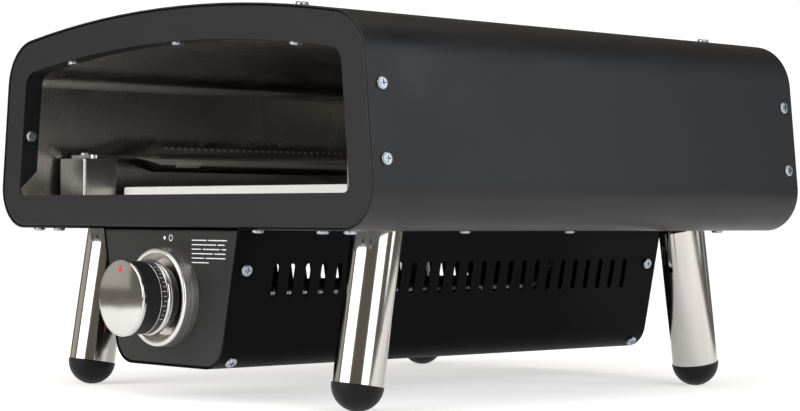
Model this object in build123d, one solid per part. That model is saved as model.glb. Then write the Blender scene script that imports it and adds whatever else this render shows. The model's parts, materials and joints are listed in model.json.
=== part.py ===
"""Portable gas pizza oven with a stainless steel chamber, a U burner and four folding legs.

Everything is drawn in the body frame: X to the right seen from the front, Y back from the
front face, Z up from the flat underside of the body. save() moves each piece to the row frame,
whose origin is on the ground under the middle of the whole oven.
"""
from build123d import *
import math
import os

os.makedirs("parts", exist_ok=True)

# ---------------------------------------------------------------- driving dimensions, mm
DEPTH = 497.0            # body, front face to back face
HEIGHT = 178.1           # body, underside to the top of the arch
UNDERSIDE = 136.0        # ground to the body's underside
HALF_WIDTH = 250.0       # where the side wall's line meets the underside
SIDE_LEAN = 5.7          # degrees, side walls lean inwards going up
LOWER_CORNER = 34.2
UPPER_CORNER = 41.5
TOP_ARC = 1353.0

SHEET = 1.2              # painted steel
LINER_SHEET = 1.0        # stainless steel
GAP = 0.1                # between nested sheets
SHELL_FLANGE_IN = 112.5  # shell's bottom flanges reach in to this half width

FRAME_WIDTH = 28.0       # front frame, from the body's outline to the opening
PANEL_BEND = 2.4         # outside bend radius of the front and rear panels
OUTER_FLANGE = 20.0
INNER_FLANGE = 16.5
MITRE_Z = 33.0           # the inner flange's lower ends are cut at 45 degrees from here

FLOOR_Z = 20.0           # underside of the chamber's floor pan
CHAMBER_BACK = 464.0
STONE_SIZE = 330.0
STONE_FRONT = 72.0
RIB_TOP = 25.0
STONE_BOTTOM = 25.3      # a hair above the ribs that it rests on
STONE_THICK = 10.7

BURNER_R = 12.5
BURNER_WALL = 1.2
BURNER_X = 190.0
BURNER_Z = 63.0
BURNER_Y = (122.0, 440.0)
BURNER_BEND = 35.0
TONGUE = (38.0, 3.0)     # width and thickness of the flattened ends
TONGUE_Y = (45.0, 85.0)
PORT_R = 1.1
PORT_PITCH = 7.5
PORT_COUNT = 37
STUB_R = 14.0

BRACKET_X = (173.0, 210.5)
BRACKET_Y = (37.0, 71.5)
BRACKET_TOP = 61.0

BOX_HALF = 90.3          # control box half width at the underside
BOX_DEPTH = 109.4
BOX_LEAN = 11.5          # degrees, its walls lean inwards going down
BOX_CORNER = 23.0
BOX_FLANGE = 112.0
SLOT_COUNT = 26
SLOT_FIRST = 43.0
SLOT_PITCH = 16.44
SLOT_SIZE = (26.5, 5.6)
SLOT_Z = -39.75

KNOB_Z = -54.0
KNOB_REACH = 47.0        # knob's front face ahead of the panel
CAP_DOME = 1.1           # height of the cap's domed face
SPINDLE_R = 4.0
RUNNING = 0.05           # radial clearance of shafts that turn

INLET_Z = -88.0
INLET_REACH = 24.0
THREAD_R = 6.58
PIPE_R = 4.0

MIXER_BEND = 40.0
MIXER_TOP = 45.0

LEG_X = 175.5
LEG_R = 19.75
LEG_WALL = 1.5
LEG_TILT = 9.5           # degrees, feet spread towards the front and the back
FOOT_R = 20.25
FOOT_HEIGHT = 20.0
LEG_FOOT_INSET = (47.5, 53.0)   # front and rear feet, from the body's ends to the leg axes
PIVOT_DROP = 26.0        # pivot below the underside
PIVOT_OFFSET = 12.0      # pivot from the leg's axis, towards the middle of the oven
PIN_R = 3.0
TAB = (3.0, 16.0)        # bracket tab's thickness and width
TAB_SLOT = 4.6           # width of the slot in the leg that clears the tab

SIDE_SCREW_Z = (52.4, 107.0)
END_SCREW_Y = (12.5, DEPTH - 12.5)
TOP_SCREW_X = 150.0
UNDER_SCREWS = ((98.0, 12.5), (175.0, 12.5), (206.0, 12.5), (147.0, 187.0), (147.0, 311.0),
                (105.0, DEPTH - 12.5), (167.0, DEPTH - 12.5))
BOX_SCREW_Z = -31.0
BOX_CORNER_SCREW = -46.0  # degrees round the control box's lower corner
M5 = (5.0, 2.6, 2.5, 8.0)  # head radius, head height, shank radius, shank length
M4 = (4.0, 2.2, 2.0, 4.4)

IGNITER_Y = 62.0
IGNITER_Z = -80.0
BUTTON_R = 6.95
ELECTRODE = (-30.0, 415.0)

# ---------------------------------------------------------------- derived values
LEAN = math.radians(SIDE_LEAN)
BOX_SLOPE = math.radians(BOX_LEAN)
TILT = math.radians(LEG_TILT)
FRONT_Y = -(DEPTH + INLET_REACH - KNOB_REACH) / 2
LEG_REACH = ((UNDERSIDE - FOOT_HEIGHT - PIVOT_DROP + PIVOT_OFFSET * math.sin(TILT)) * math.tan(TILT)
             + PIVOT_OFFSET * math.cos(TILT))
PIVOT_Y = (LEG_FOOT_INSET[0] + LEG_REACH, DEPTH - LEG_FOOT_INSET[1] - LEG_REACH)
PANEL_INSET = SHEET + GAP
LINER_INSET = FRAME_WIDTH - SHEET - GAP   # the liner's inner face
FLOOR_INSET = LINER_INSET + GAP


def polar(centre, radius, angle):
    return (centre[0] + radius * math.cos(angle), centre[1] + radius * math.sin(angle))


def corner_centres():
    """Centres of the body outline's lower corner, upper corner and top arc."""
    lower = (HALF_WIDTH - LOWER_CORNER * (1 + math.sin(LEAN)) / math.cos(LEAN), LOWER_CORNER)
    top = (0.0, HEIGHT - TOP_ARC)
    reach = HALF_WIDTH - UPPER_CORNER / math.cos(LEAN)
    slope = math.tan(LEAN)
    a = slope ** 2 + 1
    b = -2 * (top[1] + reach * slope)
    c = reach ** 2 + top[1] ** 2 - (TOP_ARC - UPPER_CORNER) ** 2
    z = (-b + math.sqrt(b * b - 4 * a * c)) / (2 * a)
    return lower, (reach - z * slope, z), top


LOWER, UPPER, TOP = corner_centres()
CROWN = math.atan2(UPPER[1] - TOP[1], UPPER[0])


def wall_x(z, inset=0.0):
    """Half width of the body at height z, measured on the leaning wall."""
    return HALF_WIDTH - inset / math.cos(LEAN) - z * math.tan(LEAN)


def loaf(inset, floor=None):
    """Body cross-section moved inwards by inset; with a floor, square lower corners at that height."""
    if floor is None:
        radius = LOWER_CORNER - inset
        foot = polar(LOWER, radius, -math.pi / 2)
        knee = polar(LOWER, radius, LEAN)
        half = [Line((0, inset), foot),
                ThreePointArc(foot, polar(LOWER, radius, (LEAN - math.pi / 2) / 2), knee)]
    else:
        knee = (wall_x(floor, inset), floor)
        half = [Line((0, floor), knee)]
    radius = UPPER_CORNER - inset
    shoulder = polar(UPPER, radius, LEAN)
    crown = polar(UPPER, radius, CROWN)
    half.append(Line(knee, shoulder))
    half.append(ThreePointArc(shoulder, polar(UPPER, radius, (LEAN + CROWN) / 2), crown))
    middle = polar(TOP, TOP_ARC - inset, (CROWN + math.pi / 2) / 2)
    half.append(ThreePointArc(crown, middle, (0, HEIGHT - inset)))
    return make_face(half + [mirror(edge, about=Plane.YZ) for edge in half])


def trough(inset, top=0.0):
    """Control box cross-section moved inwards by inset, up to height top."""
    bottom = -BOX_DEPTH + inset
    side = BOX_HALF - inset / math.cos(BOX_SLOPE)
    slope = math.tan(BOX_SLOPE)
    high = side + top * slope
    low = side + bottom * slope
    face = make_face(Polyline((-high, top), (-low, bottom), (low, bottom), (high, top), close=True))
    return fillet(face.vertices().sort_by(Axis.Y)[:2], BOX_CORNER - inset)


def prism(face, y0, y1):
    """A face drawn as X and Z, extruded from y0 back to y1."""
    return extrude(Plane.XZ.offset(-y0) * face, amount=y1 - y0, dir=(0, 1, 0))


def block(x0, x1, y0, y1, z0, z1):
    centre = ((x0 + x1) / 2, (y0 + y1) / 2, (z0 + z1) / 2)
    return Pos(*centre) * Box(x1 - x0, y1 - y0, z1 - z0)


def across(radius, y0, y1, x=0.0, z=KNOB_Z):
    """Cylinder along Y."""
    return Pos(x, (y0 + y1) / 2, z) * Rot(90, 0, 0) * Cylinder(radius, y1 - y0)


def turned(points, z=KNOB_Z):
    """Solid turned about an axis along Y, from (radius, y) points."""
    face = Plane.XY * make_face(Polyline(*points, close=True))
    return Pos(0, 0, z) * revolve(face, Axis.Y)


def both_sides(shape):
    return [shape, mirror(shape, about=Plane.YZ)]


def to_back(shape):
    """The same piece for the other end of the body."""
    return mirror(shape, about=Plane.XZ.offset(-DEPTH / 2))


def pan_screw(size):
    """Cross-recessed pan head screw, seated at z = 0 with its shank pointing down."""
    head_r, head_h, shank_r, length = size
    head = Pos(0, 0, head_h / 2) * Cylinder(head_r, head_h)
    head = fillet(head.edges().sort_by(Axis.Z)[-1], head_h * 0.62)
    bar = Box(head_r * 1.05, head_r * 0.2, head_h)
    recess = Pos(0, 0, head_h * 0.9) * (bar + Rot(0, 0, 90) * bar)
    return head + Pos(0, 0, -length / 2) * Cylinder(shank_r, length) - recess


def seat(point, outward):
    return Plane(origin=point, z_dir=outward).location


def shell_seats():
    spots = []
    for y in END_SCREW_Y:
        for z in SIDE_SCREW_Z:
            spots += [((s * wall_x(z), y, z), (s * math.cos(LEAN), 0, math.sin(LEAN))) for s in (1, -1)]
        rise = math.sqrt(TOP_ARC ** 2 - TOP_SCREW_X ** 2)
        spots += [((s * TOP_SCREW_X, y, TOP[1] + rise), (s * TOP_SCREW_X, 0, rise)) for s in (1, -1)]
    return [seat(*spot) for spot in spots]


def under_seats():
    return [seat((s * x, y, 0), (0, 0, -1)) for x, y in UNDER_SCREWS for s in (1, -1)]


def bezel_seats():
    """Screws inside the opening, heads on the inner flange."""
    y = INNER_FLANGE / 2
    z = 80.0
    spots = [((s * wall_x(z, FRAME_WIDTH), y, z), (-s * math.cos(LEAN), 0, -math.sin(LEAN)))
             for s in (1, -1)]
    radius = TOP_ARC - FRAME_WIDTH
    for x in (-148.0, 0.0, 148.0):
        rise = math.sqrt(radius ** 2 - x ** 2)
        spots.append(((x, y, TOP[1] + rise), (-x, 0, -rise)))
    return [seat(*spot) for spot in spots]


def box_seats():
    centre = (BOX_HALF - (BOX_DEPTH - BOX_CORNER) * math.tan(BOX_SLOPE)
              - BOX_CORNER / math.cos(BOX_SLOPE), BOX_CORNER - BOX_DEPTH)
    turn = math.radians(BOX_CORNER_SCREW)
    corner = polar(centre, BOX_CORNER, turn)
    side = BOX_HALF + BOX_SCREW_Z * math.tan(BOX_SLOPE)
    spots = []
    for y in END_SCREW_Y:
        for s in (1, -1):
            spots.append(((s * side, y, BOX_SCREW_Z), (s * math.cos(BOX_SLOPE), 0, -math.sin(BOX_SLOPE))))
            spots.append(((s * corner[0], y, corner[1]), (s * math.cos(turn), 0, math.sin(turn))))
    return [seat(*spot) for spot in spots]


def burner_seats():
    x = (BRACKET_X[0] + BRACKET_X[1]) / 2
    return [seat((s * x, 51.0, BRACKET_TOP + TONGUE[1]), (0, 0, 1)) for s in (1, -1)]


def leg_bracket_seats():
    return [seat((s * LEG_X, y + d, 2 * SHEET + 2.0), (0, 0, 1))
            for s in (1, -1) for y in PIVOT_Y for d in (-15.5, 15.5)]


def holes(seats, size=M5):
    """Clearance holes for the screws, through every sheet that they pass."""
    drill = Cylinder(size[2] + GAP, 2 * size[3] + 4)
    return [place * drill for place in seats]


def screws(seats, size=M5):
    screw = pan_screw(size)
    return Compound(children=[place * screw for place in seats])


# ---------------------------------------------------------------- body
def leg_slots():
    """Openings in the body's floor for the leg brackets' tabs."""
    return [block(s * LEG_X - 2.4, s * LEG_X + 2.4, y - 8.5, y + 8.5, -1, 2 * SHEET + 1)
            for s in (1, -1) for y in PIVOT_Y]


def outer_shell():
    wrap = prism(loaf(0), 0, DEPTH) - prism(loaf(SHEET), -1, DEPTH + 1)
    wrap -= block(-SHELL_FLANGE_IN, SHELL_FLANGE_IN, -1, DEPTH + 1, -1, SHEET + 1)
    return wrap - holes(shell_seats()) - holes(under_seats()) - holes(leg_bracket_seats(), M4) - leg_slots()


def base_plate():
    plate = block(-205, 205, OUTER_FLANGE + 0.5, DEPTH - OUTER_FLANGE - 0.5, SHEET, 2 * SHEET)
    riser = Pos(0, BURNER_Y[1], SHEET) * Cylinder(BURNER_R + 2, 10)
    lead = Pos(*ELECTRODE, SHEET) * Cylinder(5, 10)
    return plate - [riser, lead] - holes(under_seats()) - holes(leg_bracket_seats(), M4) - leg_slots()


def end_tray(section, inset):
    """Panel with its edges bent back, for the front; section is loaf or trough."""
    outside = prism(section(inset), 0, OUTER_FLANGE)
    outside = fillet(outside.faces().sort_by(Axis.Y)[0].edges(), PANEL_BEND)
    inside = prism(section(inset + SHEET), SHEET, OUTER_FLANGE + 1)
    inside = fillet(inside.faces().sort_by(Axis.Y)[0].edges(), PANEL_BEND - SHEET)
    return outside - inside


def body_tray():
    """Front or rear panel of the body; its outer flange is cut away at the rounded corners."""
    tray = end_tray(loaf, PANEL_INSET)
    for s in (1, -1):
        tray -= block(*sorted((s * LOWER[0], s * 260)), PANEL_BEND, 30, -1, LOWER[1])
        tray -= block(*sorted((s * UPPER[0], s * 260)), PANEL_BEND, 30, UPPER[1], HEIGHT + 1)
    return tray


def screwed(panel):
    """Panel with the holes for the screws that hold the shell and the base to it."""
    return panel - holes(shell_seats()) - holes(under_seats())


def front_bezel():
    lip = prism(loaf(FRAME_WIDTH - SHEET), 0, INNER_FLANGE)
    mitre = Polyline((-1, -1), (-1, MITRE_Z - 1), (30, MITRE_Z + 30), (30, -1), close=True)
    wedge = extrude(Plane.YZ.offset(-260) * make_face(mitre), amount=520)
    frame = screwed(body_tray()) + (lip - wedge)
    return frame - prism(loaf(FRAME_WIDTH), -1, OUTER_FLANGE + 1) - holes(bezel_seats())


def rear_panel():
    return screwed(to_back(body_tray()))


def insulation():
    blanket = prism(loaf(3.5), OUTER_FLANGE + 4, DEPTH - OUTER_FLANGE - 4)
    blanket -= prism(loaf(LINER_INSET - LINER_SHEET - 0.5, floor=-5), 0, DEPTH)
    return blanket - block(-260, 260, 0, DEPTH, -1, FLOOR_Z + 2)


# ---------------------------------------------------------------- chamber
def oven_liner():
    outside = prism(loaf(LINER_INSET - LINER_SHEET, floor=FLOOR_Z), PANEL_INSET, CHAMBER_BACK)
    return outside - prism(loaf(LINER_INSET, floor=FLOOR_Z - 1), 0, DEPTH) - holes(bezel_seats())


def liner_back():
    plate = prism(loaf(FLOOR_INSET, floor=FLOOR_Z + 13), CHAMBER_BACK - 11, CHAMBER_BACK)
    plate -= prism(loaf(FLOOR_INSET + LINER_SHEET, floor=0), CHAMBER_BACK - 12, CHAMBER_BACK - LINER_SHEET)
    skirt = prism(loaf(FLOOR_INSET + 2, floor=FLOOR_Z + 1.2), CHAMBER_BACK - LINER_SHEET, CHAMBER_BACK)
    return plate + (skirt & block(-260, 260, 400, 500, 0, FLOOR_Z + 20))


def liner_floor():
    """Pan with low side edges, an upturned front edge and pressed ribs that carry the stone."""
    front = PANEL_INSET + GAP
    pan = prism(loaf(FLOOR_INSET, floor=FLOOR_Z), front, CHAMBER_BACK)
    pan &= block(-260, 260, 0, DEPTH, FLOOR_Z, FLOOR_Z + 12)
    pan -= prism(loaf(FLOOR_INSET + LINER_SHEET, floor=FLOOR_Z + LINER_SHEET), front - 1, DEPTH)
    pan += block(-215, 215, front, front + LINER_SHEET, FLOOR_Z, FRAME_WIDTH - 1)
    rise = RIB_TOP - FLOOR_Z
    for x in (-110.0, 0.0, 110.0):
        rib = block(x - 9, x + 9, 90, 385, FLOOR_Z, FLOOR_Z + rise)
        pan += fillet(rib.edges().group_by(Axis.Z)[-1] + rib.edges().filter_by(Axis.Z), 3)
        pan -= block(x - 8, x + 8, 91, 384, FLOOR_Z - 1, FLOOR_Z + rise - LINER_SHEET)
    riser = Pos(0, BURNER_Y[1], FLOOR_Z) * Cylinder(STUB_R + 1, 10)
    electrode = Pos(*ELECTRODE, FLOOR_Z) * Cylinder(4.2, 10)
    return pan - [riser, electrode]


def pizza_stone():
    half = STONE_SIZE / 2
    slab = block(-half, half, STONE_FRONT, STONE_FRONT + STONE_SIZE, STONE_BOTTOM, STONE_BOTTOM + STONE_THICK)
    slab = fillet(slab.edges().filter_by(Axis.Z), 3)
    return fillet(slab.edges().group_by(Axis.Z)[-1] + slab.edges().group_by(Axis.Z)[0], 1.6)


def burner_bracket():
    x0, x1 = BRACKET_X
    y0, y1 = BRACKET_Y
    box = block(x0, x1, y0, y1, FLOOR_Z + LINER_SHEET, BRACKET_TOP)
    box = fillet(box.edges().filter_by(Axis.Z).group_by(Axis.X)[0], 2)
    box = fillet(box.edges().group_by(Axis.Z)[-1].sort_by(Axis.X)[:4], 1.2)
    t = LINER_SHEET
    box -= block(x0 + t, x1 + 1, y0 + t, y1 - t, 0, BRACKET_TOP - t)
    return box - holes(burner_seats())


def station(y, z):
    """Section plane across the right burner arm, facing back."""
    return Plane(origin=(BURNER_X, y, z), x_dir=(1, 0, 0), z_dir=(0, 1, 0))


def burner_end():
    """Flattened front end of the right burner arm: outside shape and hollow."""
    z = BRACKET_TOP + TONGUE[1] / 2
    y0, y1 = TONGUE_Y
    pipe = station(BURNER_Y[0], BURNER_Z)
    width, height = TONGUE
    outside = loft([pipe * Circle(BURNER_R), station(y1, z) * Ellipse(width / 2, height / 2)])
    hollow = loft([pipe * Circle(BURNER_R - BURNER_WALL), station(y1 + 3, z) * Ellipse(width / 2 - 2, 0.4)])
    tongue = block(-width / 2, width / 2, y0, y1 + 4, BRACKET_TOP, BRACKET_TOP + height)
    tongue = fillet(tongue.edges().filter_by(Axis.Z).sort_by(Axis.Y)[:2], 5)
    return outside + Pos(BURNER_X, 0, 0) * tongue, hollow


def burner_tube():
    front, rear = BURNER_Y
    corners = [(-BURNER_X, front), (-BURNER_X, rear), (BURNER_X, rear), (BURNER_X, front)]
    path = FilletPolyline(*[(x, y, BURNER_Z) for x, y in corners], radius=BURNER_BEND)
    start = Plane(origin=(-BURNER_X, front, BURNER_Z), z_dir=(0, 1, 0))
    tube = sweep(start * Circle(BURNER_R), path=path)
    bore = sweep(start * Circle(BURNER_R - BURNER_WALL), path=path)
    outside, hollow = burner_end()
    stub = Pos(0, rear, (30 + BURNER_Z) / 2) * Cylinder(STUB_R, BURNER_Z - 30)
    inlet = Pos(0, rear, (28 + BURNER_Z) / 2) * Cylinder(BURNER_R + GAP, BURNER_Z - 28 - 4)
    tube = tube + both_sides(outside) + stub
    tube = tube - bore - both_sides(hollow) - inlet
    port = Rot(0, 45, 0) * Pos(0, 0, BURNER_R) * Cylinder(PORT_R, 8)
    ports = []
    for i in range(PORT_COUNT):
        row = Pos(-BURNER_X, front + 8 + i * PORT_PITCH, BURNER_Z) * port
        ports += both_sides(row)
    return tube - ports - holes(burner_seats())


# ---------------------------------------------------------------- control box
def control_box():
    """Trough with a row of vent slots each side; the left row sits half a pitch further back."""
    wall = prism(trough(0, SHEET), 0, DEPTH) - prism(trough(SHEET, 5), -1, DEPTH + 1)
    for s in (1, -1):
        wall += block(*sorted((s * (BOX_HALF - 1), s * BOX_FLANGE)), 0, DEPTH, 0, SHEET)
    slot = Rot(0, 0, 90) * SlotOverall(*SLOT_SIZE)
    slots = []
    for i in range(SLOT_COUNT):
        y = SLOT_FIRST + i * SLOT_PITCH
        slots.append(extrude(Plane.YZ * Pos(y, SLOT_Z) * slot, amount=120))
        if i < SLOT_COUNT - 1:
            slots.append(extrude(Plane.YZ * Pos(y + SLOT_PITCH / 2, SLOT_Z) * slot, amount=-120))
    return wall - slots - holes(box_seats()) - holes(under_seats()) - igniter_hole()


def lid_section(inset):
    return trough(inset, -inset + 1.1)


def control_panel():
    knob_hole = across(11, -1, 5)
    return end_tray(lid_section, PANEL_INSET) - holes(box_seats()) - knob_hole


def control_box_rear():
    return to_back(end_tray(lid_section, PANEL_INSET) - holes(box_seats())) - inlet_hole()


def inlet_hole():
    return across(THREAD_R + GAP, DEPTH - 3, DEPTH + 2, z=INLET_Z)


def gas_valve():
    body = fillet(block(-15, 15, 6, 40, KNOB_Z - 17, KNOB_Z + 17).edges(), 2.5)
    body += across(10, 0.5, 8)
    bore = across(SPINDLE_R + RUNNING, -1, 31)
    port = Pos(0, 22, KNOB_Z - 16) * Cylinder(PIPE_R, 6)
    return body - [bore, port]


def gas_orifice():
    hexagon = prism(Pos(0, KNOB_Z) * RegularPolygon(6.5, 6), 40, 47)
    return hexagon + across(4.5, 47, 56) - across(0.8, 39, 57)


def mixer_windows():
    cuts = [Pos(0, 0, KNOB_Z) * Rot(0, a, 0) * block(-5, 5, 58, 68, 8, 30) for a in (0, 90, 180, 270)]
    return cuts


def mixer_tube():
    """Venturi: an open bell behind the gas jet, then a tube back and up into the burner."""
    r = BURNER_R
    w = BURNER_WALL
    bell = turned([(4.6, 50), (17, 50), (17, 74), (r, 90), (r, 96), (r - w, 96),
                   (r - w, 90), (17 - w, 73.5), (17 - w, 50 + w), (4.6, 50 + w)])
    start = (0, 94, KNOB_Z)
    route = [start, (0, BURNER_Y[1], KNOB_Z), (0, BURNER_Y[1], MIXER_TOP)]
    path = FilletPolyline(*route, radius=MIXER_BEND)
    ring = Plane(origin=start, z_dir=(0, 1, 0)) * (Circle(r) - Circle(r - w))
    return bell + sweep(ring, path=path) - mixer_windows()


def air_shutter():
    sleeve = across(18.5, 53, 72) - across(17.1, 52, 73)
    return sleeve - [Pos(0, 0, KNOB_Z) * Rot(0, 20, 0) * Pos(0, 0, -KNOB_Z) * cut for cut in mixer_windows()]


def gas_pipe():
    start = (0, 22, KNOB_Z - 14)
    path = FilletPolyline(start, (0, 22, INLET_Z), (0, DEPTH - 12, INLET_Z), radius=12)
    ring = Plane(origin=start, z_dir=(0, 0, -1)) * (Circle(PIPE_R) - Circle(PIPE_R - 1))
    return sweep(ring, path=path)


def gas_inlet():
    """Through fitting in the rear wall: thread outside, nut each side of the wall."""
    end = DEPTH + INLET_REACH
    fitting = chamfer(across(THREAD_R, DEPTH + 6, end, z=INLET_Z).edges().sort_by(Axis.Y)[-1], 0.8)
    fitting += across(THREAD_R - 0.4, DEPTH - 12, DEPTH + 7, z=INLET_Z)
    nut = RegularPolygon(11, 6)
    for y0, y1 in ((DEPTH - 8, DEPTH - SHEET - GAP), (DEPTH, DEPTH + 7)):
        fitting += prism(Pos(0, INLET_Z) * nut, y0, y1)
    return fitting - across(PIPE_R - 1, DEPTH - 13, end + 1, z=INLET_Z)


# ---------------------------------------------------------------- igniter
def igniter_frame():
    """Local Z points out of the left wall of the control box."""
    x = -(BOX_HALF + IGNITER_Z * math.tan(BOX_SLOPE))
    return seat((x, IGNITER_Y, IGNITER_Z), (-math.cos(BOX_SLOPE), 0, -math.sin(BOX_SLOPE)))


def stack(radius, z0, z1):
    return Pos(0, 0, (z0 + z1) / 2) * Cylinder(radius, z1 - z0)


def igniter_hole():
    return igniter_frame() * stack(9.1, -10, 10)


def igniter_housing():
    flange = stack(12, 0, 2.5)
    flange = fillet(flange.edges().sort_by(Axis.Z)[-1], 1.2)
    housing = flange + stack(9, -34, 1) + (stack(12, -6, -2) - stack(8, -7, -1))
    return igniter_frame() * (housing - stack(BUTTON_R + 0.35, -13, 4))


def igniter_button():
    button = stack(BUTTON_R, -8, 7)
    return igniter_frame() * fillet(button.edges().sort_by(Axis.Z)[-1], 1.5)


def ignition_lead():
    """Insulated lead from the igniter to the electrode, clipped along the control box's floor."""
    start = igniter_frame() * Pos(0, 0, -34)
    start = start.position
    inward = Vector(math.cos(BOX_SLOPE), 0, math.sin(BOX_SLOPE))
    turn = start + inward * ((ELECTRODE[0] - start.X) / inward.X)
    route = [start, turn, (ELECTRODE[0], ELECTRODE[1], turn.Z), (*ELECTRODE, 8)]
    route[1] = Vector(turn.X, IGNITER_Y, turn.Z)
    path = FilletPolyline(*route, radius=4.5)
    return sweep(Plane(origin=start, z_dir=inward) * Circle(1.6), path=path)


def electrode_insulator():
    body = Pos(*ELECTRODE, 0) * stack(4, 8, 36)
    collar = Pos(*ELECTRODE, 0) * stack(6.5, FLOOR_Z + LINER_SHEET, FLOOR_Z + LINER_SHEET + 4)
    rod = Pos(*ELECTRODE, 0) * stack(1.2, 20, 37)
    return body + collar - rod


def electrode_rod():
    x, y = ELECTRODE
    route = [(x, y, 20), (x, y, 52), (x, y + 9, 66)]
    path = FilletPolyline(*route, radius=5)
    return sweep(Plane(origin=route[0], z_dir=(0, 0, 1)) * Circle(1.2), path=path)


# ---------------------------------------------------------------- knob
def knob_bezel():
    """Dished ring on the panel, with a rounded lip round the knob."""
    outside = Polyline((12, 0), (40.3, 0), (39.2, -10.6))
    lip = ThreePointArc((39.2, -10.6), (37.2, -13.3), (34.6, -11.6))
    dish = Polyline((34.6, -11.6), (32.4, -5), (30.5, -3), (12, -3), (12, 0))
    face = make_face([*outside.edges(), lip, *dish.edges()])
    return Pos(0, 0, KNOB_Z) * revolve(face, Axis.Y)


def knob_core():
    """Moulded body: hub, seat for the ring, scale band and the sleeve under the grip."""
    return turned([(SPINDLE_R, -8), (25.5, -8), (27, -15.6), (26, -15.6), (26, -22), (29.3, -22),
                   (29.3, -27.4), (22, -27.4), (22, -42.8), (SPINDLE_R, -42.8)])


def knob_ring():
    ring = turned([(26, -15.6), (30.3, -15.6), (30.3, -22), (26, -22)])
    return fillet(ring.edges().group_by(SortBy.LENGTH)[-1], 2.2)


def knob_grip():
    sleeve = turned([(22, -27.4), (29, -27.4), (29, -42.8), (22, -42.8)])
    return fillet(sleeve.edges().group_by(SortBy.LENGTH)[-1], 0.8)


def cap_blank():
    """Cap with a gently domed face and a rounded rim."""
    rim = 30.3
    edge = -KNOB_REACH + CAP_DOME
    side = Polyline((0, -KNOB_REACH), (0, -42.8), (rim, -42.8), (rim, edge + 1.2))
    bend = ThreePointArc((rim, edge + 1.2), (rim - 0.4, edge + 0.35), (rim - 1.5, edge))
    dome = ThreePointArc((rim - 1.5, edge), (rim / 2, -KNOB_REACH + CAP_DOME / 4), (0, -KNOB_REACH))
    face = make_face([*side.edges(), bend, dome])
    return Pos(0, 0, KNOB_Z) * revolve(face, Axis.Y)


def pointer_inlay():
    face = Pos(0, KNOB_Z + 23.5) * Triangle(a=6, b=6, c=6, align=Align.CENTER)
    return prism(face, -KNOB_REACH - 1, -KNOB_REACH + CAP_DOME + 1)


def knob_cap():
    return cap_blank() - pointer_inlay()


def knob_pointer():
    return cap_blank() & pointer_inlay()


def valve_spindle():
    return across(SPINDLE_R, -42.6, 24)


def spindle_washer():
    return across(9, -7.6, -6.2) - across(SPINDLE_R + RUNNING, -9, -5)


# ---------------------------------------------------------------- legs
def leg_frame(side, rear):
    """Local origin on the leg's pivot, local Y towards the middle of the oven."""
    return Pos(side * LEG_X, PIVOT_Y[rear], -PIVOT_DROP) * Rot(0, 0, 180 if rear else 0)


def crosswise(radius, half_length):
    """Cylinder along X, centred on the pivot."""
    return Rot(0, 90, 0) * Cylinder(radius, 2 * half_length)


def leg_length():
    """From the pivot down to the top of the foot, along the leg."""
    drop = UNDERSIDE - FOOT_HEIGHT - PIVOT_DROP
    return (drop + PIVOT_OFFSET * math.sin(TILT)) / math.cos(TILT)


def leg_tube():
    length = leg_length()
    place = Pos(0, -PIVOT_OFFSET, (60 - length) / 2)
    tube = place * Cylinder(LEG_R, length + 60) - place * Cylinder(LEG_R - LEG_WALL, length + 62)
    relief = block(-30, 30, 0, 40, 0, 70) - crosswise(PIVOT_DROP - 0.5, 31)
    slot = block(-TAB_SLOT / 2, TAB_SLOT / 2, 0, 12, -9.5, 70)
    tube = Rot(-LEG_TILT, 0, 0) * (tube - relief - slot)
    return tube - block(-40, 40, -80, 80, PIVOT_DROP - 0.3, 90)


def leg_foot():
    end = Pos(0, -PIVOT_OFFSET, -leg_length())
    dome = Sphere(FOOT_R) & block(-30, 30, -30, 30, -30, 0)
    plug = stack(LEG_R - LEG_WALL, 0, 16)
    foot = Rot(-LEG_TILT, 0, 0) * end * (dome + plug)
    ground = PIVOT_DROP - UNDERSIDE
    return foot - block(-60, 60, -120, 120, ground - 20, ground)


def leg_bracket():
    thick, width = TAB
    top = PIVOT_DROP + 2 * SHEET
    tab = block(-thick / 2, thick / 2, -width / 2, width / 2, 0, top + 1) + crosswise(width / 2, thick / 2)
    plate = fillet(block(-14, 14, -22, 22, top, top + 2).edges().filter_by(Axis.Z), 3)
    drill = Cylinder(M4[2] + GAP, 20)
    screw_holes = [Pos(0, d, top) * drill for d in (-15.5, 15.5)]
    return tab + plate - crosswise(PIN_R + RUNNING, 5) - screw_holes


def leg_pin():
    """Pin welded across the inside of the tube."""
    bore = Pos(0, -PIVOT_OFFSET, 0) * Cylinder(LEG_R - LEG_WALL, 40)
    return Rot(-LEG_TILT, 0, 0) * (crosswise(PIN_R, 20) & bore)


# ---------------------------------------------------------------- output
def save(name, shape):
    moved = Pos(0, FRONT_Y, UNDERSIDE) * shape
    moved.label = name
    export_step(moved, os.path.join("parts", name + ".step"))


def main():
    pieces = [outer_shell, base_plate, front_bezel, rear_panel, insulation, oven_liner, liner_back,
              liner_floor, pizza_stone, burner_tube, control_box, control_panel, control_box_rear,
              gas_valve, gas_orifice, mixer_tube, air_shutter, gas_pipe, gas_inlet, igniter_housing,
              igniter_button, ignition_lead, electrode_insulator, electrode_rod, knob_bezel,
              knob_core, knob_ring, knob_grip, knob_cap, knob_pointer, valve_spindle, spindle_washer]
    for piece in pieces:
        save(piece.__name__, piece())
    right, left = both_sides(burner_bracket())
    save("burner_bracket_right", right)
    save("burner_bracket_left", left)
    for make in (leg_tube, leg_foot, leg_bracket, leg_pin):
        shape = make()
        for end, rear in (("front", False), ("rear", True)):
            for name, side in (("left", -1), ("right", 1)):
                save(f"{make.__name__}_{end}_{name}", leg_frame(side, rear) * shape)
    save("shell_screws", screws(shell_seats()))
    save("underside_screws", screws(under_seats()))
    save("bezel_screws", screws(bezel_seats()))
    save("control_box_screws", screws(box_seats()))
    save("burner_screws", screws(burner_seats()))
    save("leg_bracket_screws", screws(leg_bracket_seats(), M4))


main()
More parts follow.
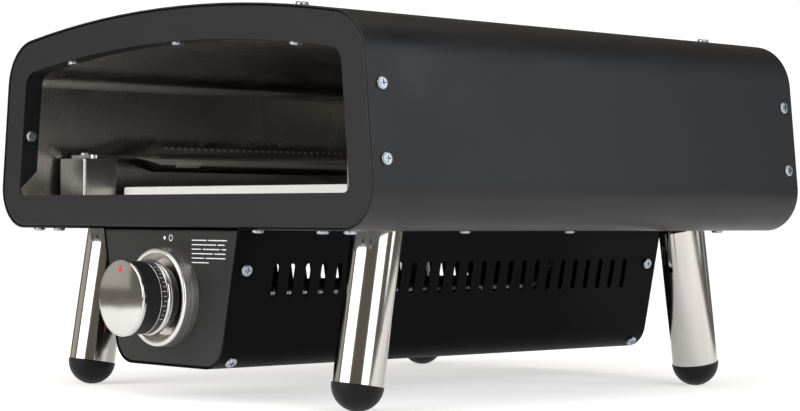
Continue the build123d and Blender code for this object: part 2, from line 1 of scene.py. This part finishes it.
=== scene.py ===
"""Looks for the portable gas pizza oven: materials, small details, light, floor and camera."""
import json
import math

import bmesh
import bpy
from mathutils import Matrix, Vector


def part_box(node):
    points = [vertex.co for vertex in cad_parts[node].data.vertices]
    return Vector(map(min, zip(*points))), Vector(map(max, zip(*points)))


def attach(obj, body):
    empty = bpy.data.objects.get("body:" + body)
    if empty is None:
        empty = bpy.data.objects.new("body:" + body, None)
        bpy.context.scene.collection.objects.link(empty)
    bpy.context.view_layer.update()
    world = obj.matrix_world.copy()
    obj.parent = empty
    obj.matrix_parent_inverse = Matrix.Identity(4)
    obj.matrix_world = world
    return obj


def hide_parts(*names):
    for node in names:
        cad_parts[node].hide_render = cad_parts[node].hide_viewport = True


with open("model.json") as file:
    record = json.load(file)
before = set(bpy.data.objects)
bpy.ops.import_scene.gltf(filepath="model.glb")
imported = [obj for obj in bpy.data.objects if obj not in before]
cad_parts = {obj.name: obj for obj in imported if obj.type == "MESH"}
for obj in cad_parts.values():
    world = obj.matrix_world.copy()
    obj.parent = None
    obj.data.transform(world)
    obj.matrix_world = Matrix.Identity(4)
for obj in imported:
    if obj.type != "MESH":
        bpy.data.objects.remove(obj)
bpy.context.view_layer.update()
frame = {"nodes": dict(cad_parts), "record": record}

NODES = frame["nodes"]
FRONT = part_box("control_panel")[0][1]       # front face of the body and the panel
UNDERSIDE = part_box("outer_shell")[0][2]     # flat underside of the body
KNOB_LOW, KNOB_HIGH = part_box("knob_cap")
KNOB_X = (KNOB_LOW[0] + KNOB_HIGH[0]) / 2
KNOB_Z = (KNOB_LOW[2] + KNOB_HIGH[2]) / 2
MM = 0.001

# Camera: degrees, and metres from the middle of the body's front lower edge.
YAW, PITCH, ROLL = 47.358, 0.281, 0.244
CAMERA_PLACE = (1.36664, -1.00694, 0.009476)
CAMERA_AZIMUTH = -42.34     # direction from the oven to the camera, degrees from +X

# Burner, millimetres in the body's own frame (from its front plane and underside).
ARM_X = 190.0
ARM_Z = 63.0
PORT_COUNT = 37
PORT_START = 130.0
PORT_PITCH = 7.5
WELD_Y = (143.0, 166.0)
WELD_BEADS = 8
WELD_TURN = -28             # degrees above the arm's inner side

# Knob grip and its dots, millimetres; y counts from the panel.
GRIP_Y = (-27.4, -42.8)
GRIP_R = 28.55
GRIP_ROWS = (-29.9, -33.4, -36.9, -40.4)
GRIP_DOTS = 42
DOT_R = 1.0
DOT_HEIGHT = 0.42


# ---------------------------------------------------------------- camera
def camera():
    """Long lens, low on the right, level with the body's underside."""
    yaw, pitch, roll = (math.radians(angle) for angle in (YAW, PITCH, ROLL))
    forward = Vector((-math.sin(yaw) * math.cos(pitch), math.cos(yaw) * math.cos(pitch), math.sin(pitch)))
    level = Vector((math.cos(yaw), math.sin(yaw), 0))
    upright = level.cross(forward)
    right = math.cos(roll) * level + math.sin(roll) * upright
    up = math.cos(roll) * upright - math.sin(roll) * level
    data = bpy.data.cameras.new("camera")
    data.lens = 94.97
    data.shift_y = 0.0032
    data.clip_end = 60
    cam = bpy.data.objects.new("camera", data)
    turn = Matrix((right, up, -forward)).transposed().to_4x4()
    place = Vector(CAMERA_PLACE) + Vector((0, FRONT, UNDERSIDE))
    cam.matrix_world = Matrix.Translation(place) @ turn
    bpy.context.collection.objects.link(cam)
    bpy.context.scene.camera = cam


camera()


# ---------------------------------------------------------------- material helpers
class Recipe:
    """One procedural material, built node by node from object coordinates in metres."""

    def __init__(self, name, roughness, metallic=0.0, **sockets):
        self.material = bpy.data.materials.new(name)
        self.material.use_nodes = True
        self.nodes = self.material.node_tree.nodes
        self.links = self.material.node_tree.links
        self.shader = self.nodes["Principled BSDF"]
        self.shader.inputs["Roughness"].default_value = roughness
        self.shader.inputs["Metallic"].default_value = metallic
        for socket, value in sockets.items():
            self.shader.inputs[socket.replace("_", " ")].default_value = value
        self.place = self.nodes.new("ShaderNodeTexCoord").outputs["Object"]

    def link(self, source, target):
        self.links.new(source, target)

    def stretched(self, scale, offset=(0, 0, 0)):
        node = self.nodes.new("ShaderNodeMapping")
        node.inputs["Scale"].default_value = scale
        node.inputs["Location"].default_value = offset
        self.link(self.place, node.inputs["Vector"])
        return node.outputs["Vector"]

    def noise(self, scale, detail=3.0, vector=None, roughness=0.5):
        node = self.nodes.new("ShaderNodeTexNoise")
        node.inputs["Scale"].default_value = scale
        node.inputs["Detail"].default_value = detail
        node.inputs["Roughness"].default_value = roughness
        self.link(vector or self.place, node.inputs["Vector"])
        return node.outputs["Fac"]

    def cells(self, scale, vector=None):
        node = self.nodes.new("ShaderNodeTexVoronoi")
        node.inputs["Scale"].default_value = scale
        self.link(vector or self.place, node.inputs["Vector"])
        return node.outputs["Distance"]

    def spread(self, value, low, high, start=0.0, end=1.0):
        """Maps value from start..end to low..high."""
        node = self.nodes.new("ShaderNodeMapRange")
        for socket, number in (("From Min", start), ("From Max", end), ("To Min", low), ("To Max", high)):
            node.inputs[socket].default_value = number
        self.link(value, node.inputs["Value"])
        return node.outputs["Result"]

    def ramp(self, value, *stops):
        """Colour ramp from (place, colour) stops."""
        node = self.nodes.new("ShaderNodeValToRGB")
        ramp = node.color_ramp
        while len(ramp.elements) < len(stops):
            ramp.elements.new(0.5)
        for element, (place, colour) in zip(ramp.elements, stops):
            element.position = place
            element.color = (*colour, 1)
        self.link(value, node.inputs["Fac"])
        return node.outputs["Color"]

    def maths(self, kind, a, b=None):
        node = self.nodes.new("ShaderNodeMath")
        node.operation = kind
        for socket, value in zip(node.inputs, (a, b)):
            if value is None:
                continue
            if isinstance(value, (int, float)):
                socket.default_value = value
            else:
                self.link(value, socket)
        return node.outputs[0]

    def flat_axes(self):
        split = self.nodes.new("ShaderNodeSeparateXYZ")
        self.link(self.place, split.inputs[0])
        return split.outputs["X"], split.outputs["Y"]

    def radius_about(self, x, z):
        """Distance from an axis along Y."""
        split = self.nodes.new("ShaderNodeSeparateXYZ")
        self.link(self.place, split.inputs[0])
        dx = self.maths("SUBTRACT", split.outputs["X"], x)
        dz = self.maths("SUBTRACT", split.outputs["Z"], z)
        total = self.maths("ADD", self.maths("MULTIPLY", dx, dx), self.maths("MULTIPLY", dz, dz))
        return self.maths("SQRT", total)

    def colour(self, value):
        self.link(value, self.shader.inputs["Base Color"])

    def rough(self, value):
        self.link(value, self.shader.inputs["Roughness"])

    def bump(self, value, depth, strength=1.0, after=None):
        """depth is the height of the relief, in metres."""
        node = self.nodes.new("ShaderNodeBump")
        node.inputs["Strength"].default_value = strength
        node.inputs["Distance"].default_value = depth
        self.link(value, node.inputs["Height"])
        if after:
            self.link(after, node.inputs["Normal"])
        self.link(node.outputs["Normal"], self.shader.inputs["Normal"])
        return node.outputs["Normal"]


def shade(colour, factor):
    return tuple(c * factor for c in colour)


# ---------------------------------------------------------------- materials
def powder_coat(name, colour, roughness, specular):
    """Fine orange peel and slight cloudiness in the gloss."""
    m = Recipe(name, roughness, Specular_IOR_Level=specular)
    peel = m.noise(1500, 2)
    cloud = m.noise(14, 4)
    grain = m.noise(5200, 1)
    m.colour(m.ramp(m.noise(420, 3), (0.3, shade(colour, 0.86)), (0.7, shade(colour, 1.12))))
    m.rough(m.spread(cloud, roughness - 0.05, roughness + 0.06, 0.3, 0.7))
    first = m.bump(peel, 0.00006, 0.5)
    m.bump(grain, 0.00002, 0.35, after=first)
    return m.material


def brushed(name, colour, roughness, along, depth=0.00001):
    """Sheet metal with hair lines along one axis, and faint smudges."""
    m = Recipe(name, roughness, 1.0)
    across = [2200, 2200, 2200]
    across["XYZ".index(along)] = 14
    hair = m.noise(1, 3, m.stretched(across), 0.7)
    smudge = m.noise(22, 4)
    m.colour(m.ramp(hair, (0.3, shade(colour, 0.955)), (0.72, shade(colour, 1.03))))
    worn = m.maths("ADD", m.spread(hair, -0.03, 0.03, 0.3, 0.7), m.spread(smudge, -0.03, 0.04, 0.3, 0.7))
    m.rough(m.maths("ADD", worn, roughness))
    m.bump(hair, depth, 0.6)
    return m.material


def polished(name, colour, roughness):
    """Mirror polished tube: very fine lengthwise lines and soft haze."""
    m = Recipe(name, roughness, 1.0)
    lines = m.noise(1, 2, m.stretched((2600, 2600, 26)), 0.6)
    haze = m.noise(30, 3)
    m.colour(m.ramp(haze, (0.3, shade(colour, 0.95)), (0.7, colour)))
    m.rough(m.maths("ADD", m.spread(haze, -0.02, 0.03, 0.3, 0.7), roughness))
    m.bump(lines, 0.000004, 0.35)
    return m.material


def turned_steel(name, colour, roughness):
    """Lathe lines in rings round the knob's axis."""
    m = Recipe(name, roughness, 1.0)
    radius = m.radius_about(KNOB_X, KNOB_Z)
    ring = m.nodes.new("ShaderNodeTexNoise")
    ring.noise_dimensions = "1D"
    ring.inputs["Scale"].default_value = 5200
    ring.inputs["Detail"].default_value = 3
    m.link(radius, ring.inputs["W"])
    m.colour(m.ramp(ring.outputs["Fac"], (0.3, shade(colour, 0.93)), (0.7, colour)))
    m.rough(m.spread(ring.outputs["Fac"], roughness - 0.03, roughness + 0.06, 0.3, 0.7))
    m.bump(ring.outputs["Fac"], 0.000006, 0.4)
    return m.material


def stone(name):
    m = Recipe(name, 0.85)
    speckle = m.cells(520)
    grains = [(0.02, (0.72, 0.70, 0.67)), (0.16, (0.90, 0.89, 0.87)), (0.6, (0.95, 0.945, 0.925))]
    m.colour(m.ramp(speckle, *grains))
    first = m.bump(m.noise(900, 5, roughness=0.7), 0.00025, 0.5)
    m.bump(speckle, 0.00012, 0.3, after=first)
    return m.material


def rubber(name, colour, roughness, specular=0.25):
    m = Recipe(name, roughness, Specular_IOR_Level=specular)
    m.colour(m.ramp(m.noise(60, 4), (0.3, shade(colour, 0.8)), (0.7, shade(colour, 1.35))))
    m.rough(m.spread(m.noise(35, 3), roughness - 0.08, roughness + 0.1, 0.3, 0.7))
    m.bump(m.noise(1800, 3), 0.00004, 0.5)
    return m.material


def plastic(name, colour, roughness):
    m = Recipe(name, roughness)
    m.colour(m.ramp(m.noise(300, 2), (0.3, shade(colour, 0.93)), (0.7, shade(colour, 1.08))))
    m.rough(m.spread(m.noise(40, 3), roughness - 0.04, roughness + 0.05, 0.3, 0.7))
    m.bump(m.noise(1200, 2), 0.00003, 0.35)
    return m.material


def zinc(name):
    m = Recipe(name, 0.3, 1.0)
    m.colour(m.ramp(m.noise(900, 3), (0.3, (0.30, 0.34, 0.38)), (0.7, (0.46, 0.50, 0.55))))
    m.rough(m.spread(m.noise(700, 3), 0.2, 0.4, 0.3, 0.7))
    m.bump(m.noise(2500, 2), 0.00002, 0.4)
    return m.material


def blanket(name):
    m = Recipe(name, 0.95)
    m.colour(m.ramp(m.noise(160, 5), (0.3, (0.72, 0.71, 0.68)), (0.7, (0.9, 0.89, 0.86))))
    m.bump(m.noise(240, 6, roughness=0.7), 0.002, 0.6)
    return m.material


def raw_edge_and_glint_steel(name):
    """Raw edge of a punched hole in a light, half-dull steel: partly the bare metal, partly a painted
    highlight so that the rims read as bright dots.
    """
    m = Recipe(name, 0.5, 0.35)
    m.colour(m.ramp(m.noise(1500, 2), (0.3, (0.62, 0.61, 0.58)), (0.7, (0.88, 0.87, 0.84))))
    return m.material


def print_white(name):
    m = Recipe(name, 0.6)
    m.colour(m.ramp(m.noise(900, 3), (0.35, (0.62, 0.64, 0.66)), (0.7, (0.85, 0.86, 0.88))))
    return m.material


MATERIALS = {
    "powder_coat": powder_coat("powder_coat", (0.0045, 0.0045, 0.0055), 0.40, 0.36),
    "bezel_coat": powder_coat("bezel_coat", (0.0058, 0.0058, 0.0069), 0.48, 0.28),
    "box_coat": powder_coat("box_coat", (0.0012, 0.0012, 0.0015), 0.42, 0.05),
    "panel_coat": powder_coat("panel_coat", (0.0098, 0.0098, 0.0102), 0.5, 0.3),
    "liner_steel": brushed("liner_steel", (0.48, 0.467, 0.443), 0.25, "Z", 0.000003),
    "burner_steel": brushed("burner_steel", (0.58, 0.56, 0.53), 0.22, "Y", 0.000004),
    "cordierite": stone("cordierite"),
    "ceramic_blanket": blanket("ceramic_blanket"),
    "leg_chrome": polished("leg_chrome", (0.53, 0.51, 0.48), 0.11),
    "foot_rubber": rubber("foot_rubber", (0.003, 0.003, 0.0034), 0.45, 0.18),
    "bracket_steel": brushed("bracket_steel", (0.6, 0.6, 0.59), 0.35, "Z"),
    "screw_zinc": zinc("screw_zinc"),
    "knob_dish": turned_steel("knob_dish", (0.70, 0.68, 0.64), 0.27),
    "knob_chrome": turned_steel("knob_chrome", (0.585, 0.58, 0.56), 0.08),
    "knob_plastic": plastic("knob_plastic", (0.018, 0.018, 0.019), 0.4),
    "grip_rubber": rubber("grip_rubber", (0.006, 0.006, 0.007), 0.5),
    "pointer_red": plastic("pointer_red", (0.55, 0.012, 0.012), 0.35),
    "gas_brass": brushed("gas_brass", (0.72, 0.52, 0.22), 0.28, "Y"),
    "valve_aluminium": brushed("valve_aluminium", (0.62, 0.62, 0.63), 0.45, "Y"),
    "igniter_plastic": plastic("igniter_plastic", (0.02, 0.02, 0.021), 0.45),
    "button_plastic": plastic("button_plastic", (0.5, 0.02, 0.015), 0.3),
    "insulator_ceramic": plastic("insulator_ceramic", (0.82, 0.81, 0.77), 0.18),
    "lead_silicone": rubber("lead_silicone", (0.32, 0.03, 0.02), 0.5),
}
PRINT = print_white("panel_print")
# Light steel for the port rims and weld beads; its light tone is partly a painted highlight.
RAW_EDGE_AND_GLINT = raw_edge_and_glint_steel("raw_edge_and_glint_steel")


def paint_cad_nodes():
    for entry in frame["record"]["subparts"]:
        mesh = NODES[entry["node"]].data
        mesh.materials.clear()
        mesh.materials.append(MATERIALS[entry["material_slot"]])


paint_cad_nodes()


# ---------------------------------------------------------------- pieces
def piece(name, build, slot, body, material=None):
    """New mesh piece: build fills a bmesh with vertices in the row frame."""
    bm = bmesh.new()
    build(bm)
    bmesh.ops.recalc_face_normals(bm, faces=bm.faces)
    mesh = bpy.data.meshes.new(name)
    bm.to_mesh(mesh)
    bm.free()
    mesh.materials.append(material or MATERIALS[slot])
    for face in mesh.polygons:
        face.use_smooth = True
    obj = bpy.data.objects.new(name, mesh)
    bpy.context.collection.objects.link(obj)
    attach(obj, body)
    return obj


def grid(bm, point, rows, columns, closed_rows=False, closed_columns=False):
    """Faces over point(i, j)."""
    verts = [[bm.verts.new(point(i, j)) for j in range(columns)] for i in range(rows)]
    for i in range(rows if closed_rows else rows - 1):
        for j in range(columns if closed_columns else columns - 1):
            k, n = (i + 1) % rows, (j + 1) % columns
            bm.faces.new((verts[i][j], verts[i][n], verts[k][n], verts[k][j]))


def on_knob(radius, angle, y):
    """Point round the knob's axis; angle from the top, clockwise from the front; millimetres."""
    return (KNOB_X + radius * MM * math.sin(angle), FRONT + y * MM, KNOB_Z + radius * MM * math.cos(angle))


def ring(bm, centre, axis, radius, thickness, segments=24, sides=8):
    """Round ring about an axis through centre, all in metres."""
    axis = Vector(axis).normalized()
    u = axis.orthogonal().normalized()
    v = axis.cross(u)

    def point(i, j):
        turn, roll = 2 * math.pi * i / segments, 2 * math.pi * j / sides
        out = math.cos(turn) * u + math.sin(turn) * v
        return Vector(centre) + out * (radius + thickness * math.cos(roll)) + axis * thickness * math.sin(roll)

    grid(bm, point, segments, sides, True, True)


def grip_radius(angle, y):
    """Sleeve radius with staggered round dots."""
    row = min(range(len(GRIP_ROWS)), key=lambda i: abs(GRIP_ROWS[i] - y))
    pitch = 2 * math.pi / GRIP_DOTS
    shift = 0.5 * (row % 2)
    off = (angle / pitch - shift + 0.5) % 1 - 0.5
    distance = math.hypot(off * pitch * GRIP_R, y - GRIP_ROWS[row])
    return GRIP_R + DOT_HEIGHT * max(0.0, 1 - (distance / DOT_R) ** 2)


def build_grip(bm):
    around, along = 504, 57
    inner = 22.0
    ends = [(inner, GRIP_Y[0]), (GRIP_R - 0.5, GRIP_Y[0]), (GRIP_R - 0.15, GRIP_Y[0] - 0.15)]
    tail = [(GRIP_R - 0.15, GRIP_Y[1] + 0.15), (GRIP_R - 0.5, GRIP_Y[1]), (inner, GRIP_Y[1])]

    def point(i, j):
        angle = 2 * math.pi * j / around
        if i < 3:
            return on_knob(ends[i][0], angle, ends[i][1])
        if i >= 3 + along:
            radius, y = tail[i - 3 - along]
            return on_knob(radius, angle, y)
        y = GRIP_Y[0] - 0.4 + (GRIP_Y[1] - GRIP_Y[0] + 0.8) * (i - 3) / (along - 1)
        return on_knob(grip_radius(angle, y), angle, y)

    grid(bm, point, along + 6, around, True, True)


def build_scale(bm):
    """Printed marks on the knob's scale band, longer at every third."""
    for i in range(13):
        angle = math.radians(34 + 7.5 * i)
        start, end = -23.0, -26.6 if i % 3 == 0 else -25.0
        grid(bm, lambda a, b, t=angle, s=start, e=end: on_knob(
            29.36, t + (b - 1) * 0.0075, s + (e - s) * a / 2), 3, 3)


def flat(bm, points):
    """Printed patch on the control panel; x and z in millimetres from the middle and the underside."""
    bm.faces.new([bm.verts.new((x * MM, FRONT - 0.00006, UNDERSIDE + z * MM)) for x, z in points])


def build_panel_marks(bm):
    for radius, hollow, x in ((1.5, 0.0, -5.0), (2.6, 1.9, 3.2)):
        for i in range(32):
            a, b = 2 * math.pi * i / 32, 2 * math.pi * (i + 1) / 32
            inner = [(hollow, b), (hollow, a)] if hollow else [(0, 0)]
            turn = [(radius, a), (radius, b), *inner]
            flat(bm, [(x + r * math.sin(t), -6.8 + r * math.cos(t)) for r, t in turn])
    for row, lengths in enumerate(((19, 24), (31, 9), (12, 22, 6), (27, 14), (16, 25), (22,))):
        x = 31.0
        z = -8.0 - 3.5 * row
        for length in lengths:
            flat(bm, [(x, z), (x + length, z), (x + length, z - 0.8), (x, z - 0.8)])
            x += length + 2.0


def on_arm(side, y):
    """Point on a burner arm's axis; y in millimetres from the body's front."""
    return Vector((side * ARM_X * MM, FRONT + y * MM, UNDERSIDE + ARM_Z * MM))


def build_burrs(bm):
    """Raised rims left round the burner's punched flame ports."""
    for side in (-1, 1):
        for i in range(PORT_COUNT):
            lean = Vector((-side, 0, 1)).normalized()
            centre = on_arm(side, PORT_START + PORT_PITCH * i)
            ring(bm, centre + lean * 0.01248, lean, 0.00125, 0.00019, 16, 6)


def build_weld(bm):
    """Row of flat overlapping weld beads low on the inner side of the left burner arm."""
    lean = math.radians(WELD_TURN)
    out = Vector((math.cos(lean), 0, math.sin(lean)))
    up = Vector((-math.sin(lean), 0, math.cos(lean)))
    for i in range(WELD_BEADS):
        step = (WELD_Y[1] - WELD_Y[0]) / (WELD_BEADS - 1)
        centre = on_arm(-1, WELD_Y[0] + step * i) + out * 0.0122

        def point(a, b, middle=centre):
            tilt, turn = math.pi * (a + 0.5) / 8, 2 * math.pi * b / 14
            along = 0.0026 * math.sin(tilt) * math.cos(turn)
            rise = 0.0031 * math.sin(tilt) * math.sin(turn)
            return middle + out * 0.0008 * math.cos(tilt) + up * rise + Vector((0, along + 0.4 * rise, 0))

        grid(bm, point, 8, 14, False, True)


def build_knob_line(bm):
    ring(bm, (KNOB_X, FRONT + GRIP_Y[0] * MM, KNOB_Z), (0, 1, 0), 0.02895, 0.00034, 128, 8)


grip = piece("grip_with_dots", build_grip, "grip_rubber", "knob")
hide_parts("knob_grip")
piece("scale_marks", build_scale, "knob_plastic", "knob", PRINT)
piece("knob_line", build_knob_line, "knob_chrome", "knob")
piece("panel_marks", build_panel_marks, "panel_coat", "body", PRINT)
# Port rims and weld beads get the light steel: partly bare metal, partly a painted highlight.
piece("port_burrs", build_burrs, "burner_steel", "body", RAW_EDGE_AND_GLINT)
piece("burner_weld", build_weld, "burner_steel", "body", RAW_EDGE_AND_GLINT)


# ---------------------------------------------------------------- stage
def studio():
    """White floor that glows a little, so that shadows stay light; grey-brown room, white backdrop."""
    mesh = bpy.data.meshes.new("floor")
    bm = bmesh.new()
    bmesh.ops.create_circle(bm, cap_ends=True, segments=128, radius=1.35)
    bm.to_mesh(mesh)
    bm.free()
    floor = bpy.data.objects.new("floor", mesh)
    bpy.context.collection.objects.link(floor)
    m = Recipe("floor", 0.7, Emission_Color=(1, 1, 1, 1))
    away = m.maths("SQRT", m.maths("ADD", *[m.maths("MULTIPLY", axis, axis) for axis in m.flat_axes()]))
    m.link(m.spread(away, 0.58, 0.8, 0.45, 1.1), m.shader.inputs["Emission Strength"])
    m.colour(m.ramp(m.noise(2, 3), (0.3, (0.82, 0.82, 0.82)), (0.7, (0.84, 0.84, 0.84))))
    mesh.materials.append(m.material)

    world = bpy.data.worlds.new("studio")
    world.use_nodes = True
    nodes, links = world.node_tree.nodes, world.node_tree.links
    mix = nodes.new("ShaderNodeMix")
    mix.data_type = "RGBA"
    mix.inputs["A"].default_value = (0.17, 0.152, 0.13, 1)
    mix.inputs["B"].default_value = (1.1, 1.1, 1.1, 1)
    links.new(nodes.new("ShaderNodeLightPath").outputs["Is Camera Ray"], mix.inputs["Factor"])
    links.new(mix.outputs["Result"], nodes["Background"].inputs["Color"])
    bpy.context.scene.world = world


def softbox(name, place, size, radiance, tint=(1, 1, 1), target=(0, 0, 0.15)):
    """Rectangular light aimed at the oven."""
    data = bpy.data.lights.new(name, "AREA")
    data.shape = "RECTANGLE"
    data.size, data.size_y = size
    data.energy = radiance * math.pi * size[0] * size[1]
    data.color = tint
    light = bpy.data.objects.new(name, data)
    light.location = place
    aim = Vector(target) - Vector(place)
    light.rotation_euler = aim.to_track_quat("-Z", "Y").to_euler()
    bpy.context.collection.objects.link(light)


def beside_camera(angle, distance, height):
    """Place at an angle from the camera's direction, positive to the viewer's right."""
    turn = math.radians(angle + CAMERA_AZIMUTH)
    return (distance * math.cos(turn), distance * math.sin(turn), height)


studio()
softbox("overhead", (0.3, -0.2, 2.4), (2.6, 2.6), 1.5)
softbox("left_box", beside_camera(-60, 3.2, 1.15), (2.9, 2.3), 3.8)
softbox("right_box", beside_camera(31, 3.2, 1.15), (2.0, 2.3), 2.8)
softbox("side_fill", beside_camera(78, 3.2, 1.15), (1.0, 2.3), 2.9, (0.88, 0.94, 1.0))
softbox("front_fill", beside_camera(-112, 3.2, 1.15), (2.2, 2.3), 0.42, (1.0, 0.95, 0.87))
softbox("blue_strip", beside_camera(114, 3.2, 1.15), (0.6, 2.3), 0.6, (0.45, 0.68, 0.9))

bpy.context.scene.view_settings.view_transform = "Standard"
